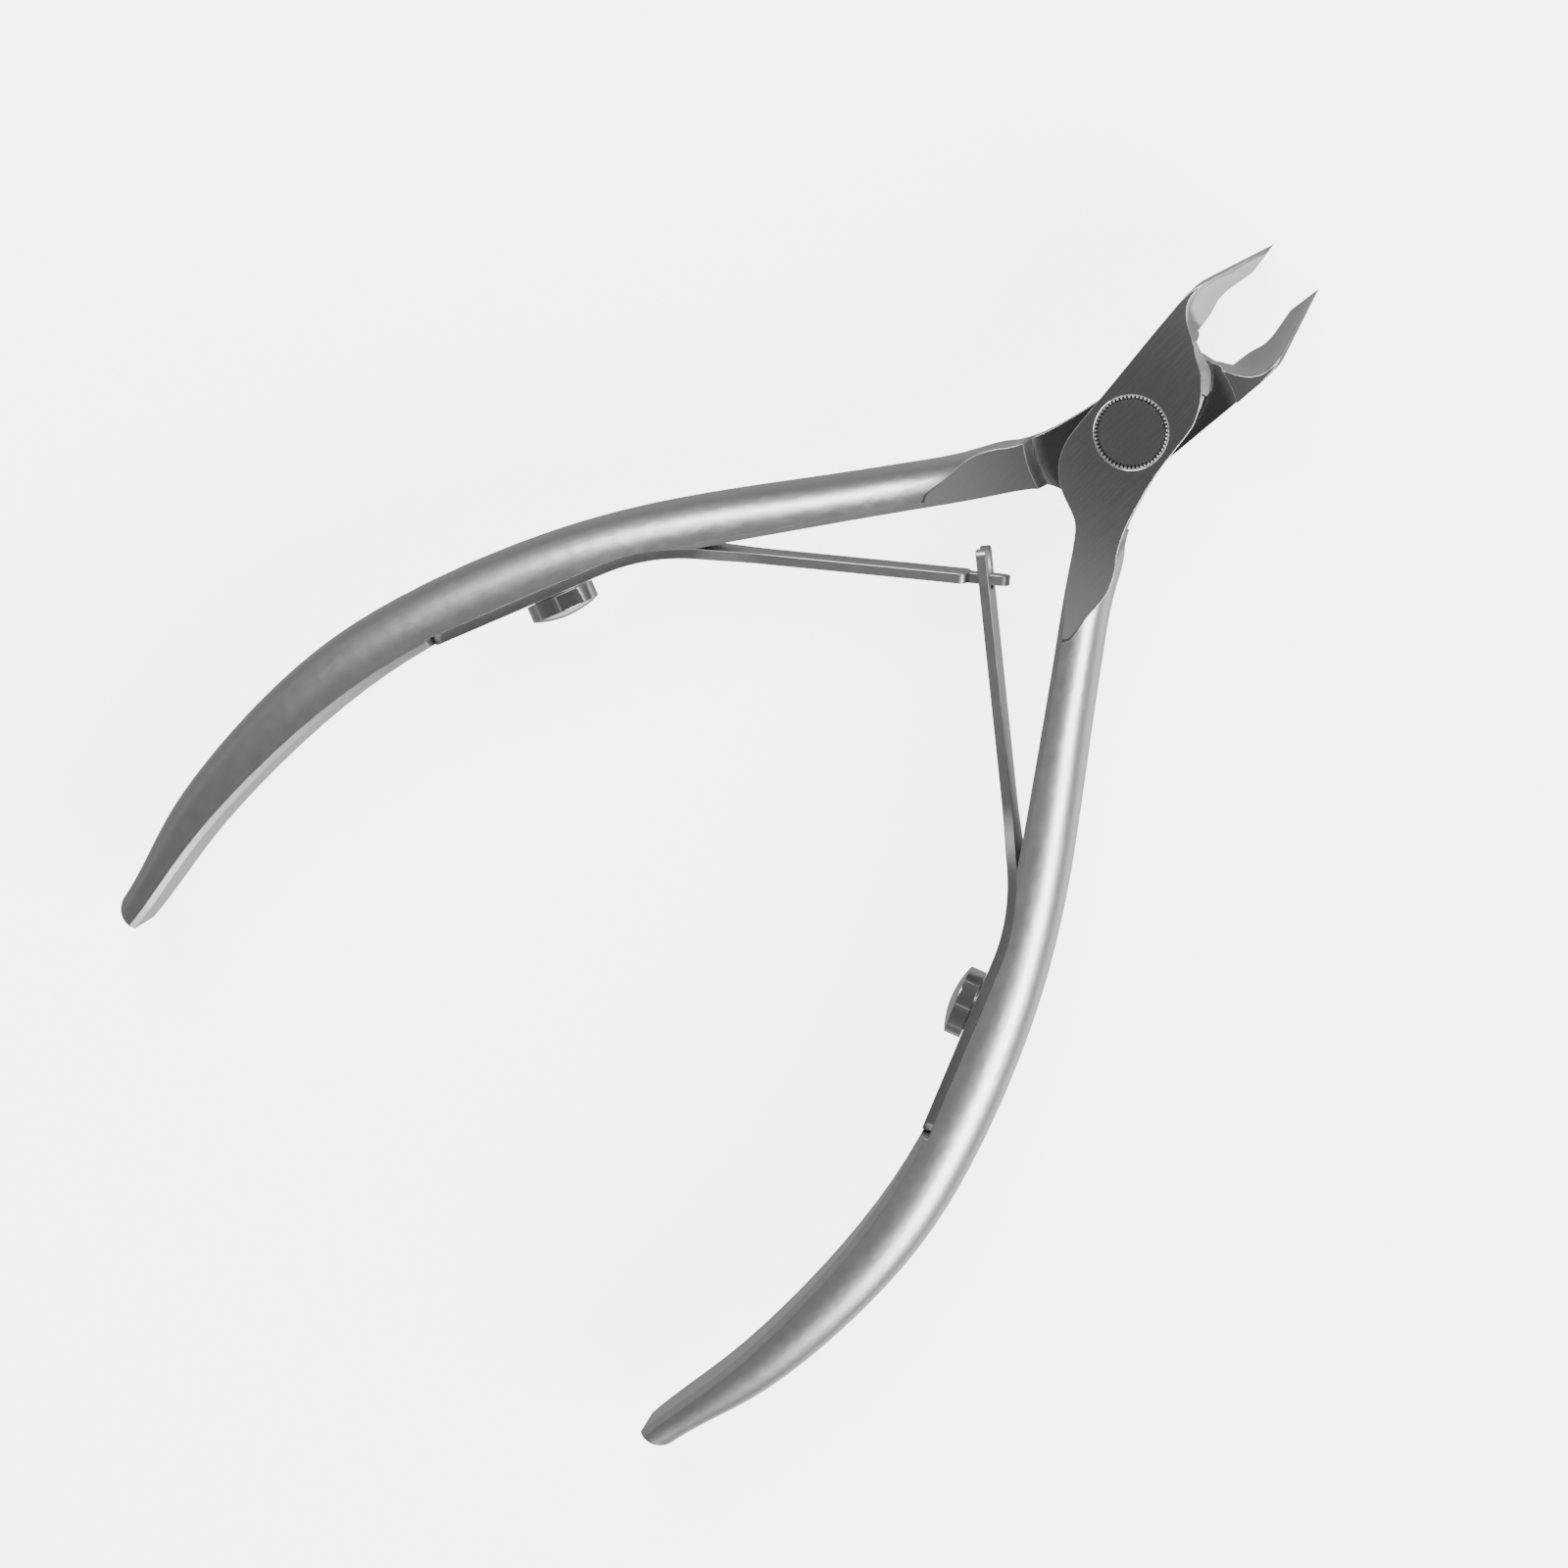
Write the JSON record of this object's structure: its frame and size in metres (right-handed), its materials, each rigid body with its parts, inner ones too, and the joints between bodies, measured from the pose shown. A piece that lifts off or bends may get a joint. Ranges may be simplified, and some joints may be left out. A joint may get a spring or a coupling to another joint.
{
  "type": "cuticle nipper",
  "caption": "Small lap-joint nipper with curved steel handles, hollow-ground half jaws and two interlocking leaf springs.",
  "frame": {"origin": "where the pivot axis meets the back face of the joint, which is the face the nipper rests on", "axes": "+X along the middle line towards the jaws, +Z along the pivot axis and up out of the rest face, +Y towards the rear half's handle"},
  "size_m": [0.1022, 0.0686, 0.008],
  "materials": {
    "lever_steel": "satin handles, polished joint and jaws",
    "spring_steel": "fine satin",
    "polished_steel": "mirror polished"
  },
  "bodies": {
    "rear_lever": {"rear_half": "lever_steel", "tongue_spring_root": "spring_steel", "tongue_spring_screw": "polished_steel"},
    "front_lever": {"front_half": "lever_steel", "pivot_pin": "polished_steel", "pivot_screw": "polished_steel", "fork_spring_root": "spring_steel", "fork_spring_screw": "polished_steel"},
    "fork_arm": {"fork_spring_arm": "spring_steel"},
    "tongue_arm": {"tongue_spring_arm": "spring_steel"}
  },
  "joints": [
    {"name": "handle_pivot", "type": "hinge", "parent": "rear_lever", "child": "front_lever", "pos_m": [0, 0, 0.004], "axis": [0, 0, -1], "range_deg": [0, 16], "stiffness_Nm_per_rad": 1, "springref_deg": -11.46},
    {"name": "fork_arm_flex", "type": "hinge", "parent": "front_lever", "child": "fork_arm", "pos_m": [-0.02978, -0.01636, 0.004], "axis": [0, 0, -1], "range_deg": [0, 7.6]},
    {"name": "tongue_arm_flex", "type": "hinge", "parent": "rear_lever", "child": "tongue_arm", "pos_m": [-0.02978, 0.01636, 0.004], "axis": [0, 0, 1], "range_deg": [0, 7.6]}
  ],
  "couplings": [
    {"joint": "fork_arm_flex", "follows": "handle_pivot", "ratio": 0.47},
    {"joint": "tongue_arm_flex", "follows": "handle_pivot", "ratio": 0.47}
  ]
}
